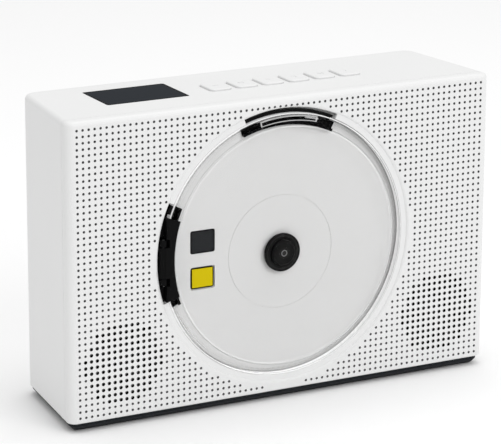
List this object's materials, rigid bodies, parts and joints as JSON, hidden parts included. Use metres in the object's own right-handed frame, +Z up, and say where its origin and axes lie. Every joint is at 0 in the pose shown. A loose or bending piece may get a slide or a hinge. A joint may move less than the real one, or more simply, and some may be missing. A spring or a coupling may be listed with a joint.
{
  "type": "wall mounted disc player",
  "caption": "White wall mounted disc player: perforated front with driver grilles, round bay under a hinged clear lid, dark display and press keys on top, dark base.",
  "frame": {"origin": "on the surface under the feet, in the middle of the width and of the overall depth", "axes": "+X to the right seen from the front, +Y from the front towards the wall, +Z up; the perforated front faces -Y"},
  "size_m": [0.264, 0.0788, 0.1755],
  "materials": {
    "body_white": "satin",
    "base_black": "satin",
    "rubber_black": "matte",
    "screw_steel": "satin",
    "deck_grey": "satin",
    "sensor_dark": "gloss",
    "pad_yellow": "matte",
    "lid_clear": "gloss",
    "hinge_black": "satin",
    "steel_bright": "polished",
    "hub_black": "satin",
    "motor_steel": "satin",
    "chassis_dark": "matte",
    "lens_glass": "gloss",
    "gear_natural": "satin",
    "basket_black": "satin",
    "magnet_grey": "matte",
    "cone_dark": "matte",
    "display_dark": "gloss",
    "key_white": "satin",
    "board_green": "satin",
    "component_black": "satin",
    "socket_steel": "satin",
    "heatsink_aluminium": "satin"
  },
  "bodies": {
    "cabinet": {"front_panel": "body_white", "housing": "body_white", "back_panel": "body_white", "base_plate": "base_black", "rubber_feet": "rubber_black", "mech_dampers": "rubber_black", "driver_surround_left": "rubber_black", "driver_surround_right": "rubber_black", "base_screws": "screw_steel", "case_screws": "screw_steel", "deck_screws": "screw_steel", "mech_screws": "screw_steel", "driver_screws": "screw_steel", "top_screws": "screw_steel", "board_screws": "screw_steel", "disc_deck": "deck_grey", "pickup_window": "deck_grey", "charcoal_window": "sensor_dark", "yellow_pad": "pad_yellow", "hinge_bracket": "hinge_black", "catch_block": "hinge_black", "hinge_pin": "steel_bright", "catch_magnets": "steel_bright", "guide_rods": "steel_bright", "feed_axle": "steel_bright", "spindle_motor": "motor_steel", "feed_motor": "motor_steel", "mech_chassis": "chassis_dark", "driver_basket_left": "basket_black", "driver_basket_right": "basket_black", "driver_magnet_left": "magnet_grey", "driver_magnet_right": "magnet_grey", "driver_cone_left": "cone_dark", "driver_cone_right": "cone_dark", "display_window": "display_dark", "display_module": "display_dark", "key_board": "board_green", "main_board": "board_green", "key_switches": "component_black", "audio_socket": "component_black", "power_switch": "component_black", "capacitors": "component_black", "power_inlet": "socket_steel", "amplifier_heatsink": "heatsink_aluminium"},
    "lid": {"lid": "lid_clear", "hinge_leaf": "hinge_black", "lid_keeper": "steel_bright"},
    "spindle": {"spindle_hub": "hub_black", "spindle_shaft": "steel_bright"},
    "sled": {"pickup_sled": "chassis_dark", "pickup_lens": "lens_glass"},
    "gear": {"feed_gear": "gear_natural"},
    "pinion": {"feed_pinion": "gear_natural"},
    "knob": {"power_knob": "component_black"},
    "key_1": {"key_1": "key_white"},
    "key_2": {"key_2": "key_white"},
    "key_3": {"key_3": "key_white"},
    "key_4": {"key_4": "key_white"},
    "key_5": {"key_5": "key_white"},
    "key_6": {"key_6": "key_white"}
  },
  "joints": [
    {"name": "lid_hinge", "type": "hinge", "parent": "cabinet", "child": "lid", "pos_m": [-0.075, -0.0366, 0.0899], "axis": [0, 0, -1], "range_deg": [0, 90]},
    {"name": "key_1_press", "type": "slide", "parent": "cabinet", "child": "key_1", "axis": [0, 0, -1], "range_m": [0, 0.0008], "stiffness_N_per_m": 300, "springref_m": -0.001},
    {"name": "key_2_press", "type": "slide", "parent": "cabinet", "child": "key_2", "axis": [0, 0, -1], "range_m": [0, 0.0008], "stiffness_N_per_m": 300, "springref_m": -0.001},
    {"name": "key_3_press", "type": "slide", "parent": "cabinet", "child": "key_3", "axis": [0, 0, -1], "range_m": [0, 0.0008], "stiffness_N_per_m": 300, "springref_m": -0.001},
    {"name": "key_4_press", "type": "slide", "parent": "cabinet", "child": "key_4", "axis": [0, 0, -1], "range_m": [0, 0.0008], "stiffness_N_per_m": 300, "springref_m": -0.001},
    {"name": "key_5_press", "type": "slide", "parent": "cabinet", "child": "key_5", "axis": [0, 0, -1], "range_m": [0, 0.0008], "stiffness_N_per_m": 300, "springref_m": -0.001},
    {"name": "key_6_press", "type": "slide", "parent": "cabinet", "child": "key_6", "axis": [0, 0, -1], "range_m": [0, 0.0008], "stiffness_N_per_m": 300, "springref_m": -0.001},
    {"name": "spindle_spin", "type": "hinge", "parent": "cabinet", "child": "spindle", "pos_m": [0, -0.0276, 0.0851], "axis": [0, 1, 0], "continuous": true},
    {"name": "sled_slide", "type": "slide", "parent": "cabinet", "child": "sled", "axis": [1, 0, 0], "range_m": [0, 0.036]},
    {"name": "feed_gear_spin", "type": "hinge", "parent": "cabinet", "child": "gear", "pos_m": [0.034, -0.0196, 0.0617], "axis": [0, 1, 0], "range_deg": [-60, 750]},
    {"name": "feed_pinion_spin", "type": "hinge", "parent": "cabinet", "child": "pinion", "pos_m": [0.034, -0.0196, 0.0497], "axis": [0, 1, 0], "range_deg": [-2250, 180]},
    {"name": "power_slide", "type": "slide", "parent": "cabinet", "child": "knob", "axis": [1, 0, 0], "range_m": [0, 0.003]}
  ],
  "couplings": [
    {"joint": "feed_gear_spin", "follows": "sled_slide", "rad_per_m": 333.33},
    {"joint": "feed_pinion_spin", "follows": "sled_slide", "rad_per_m": -1000}
  ]
}
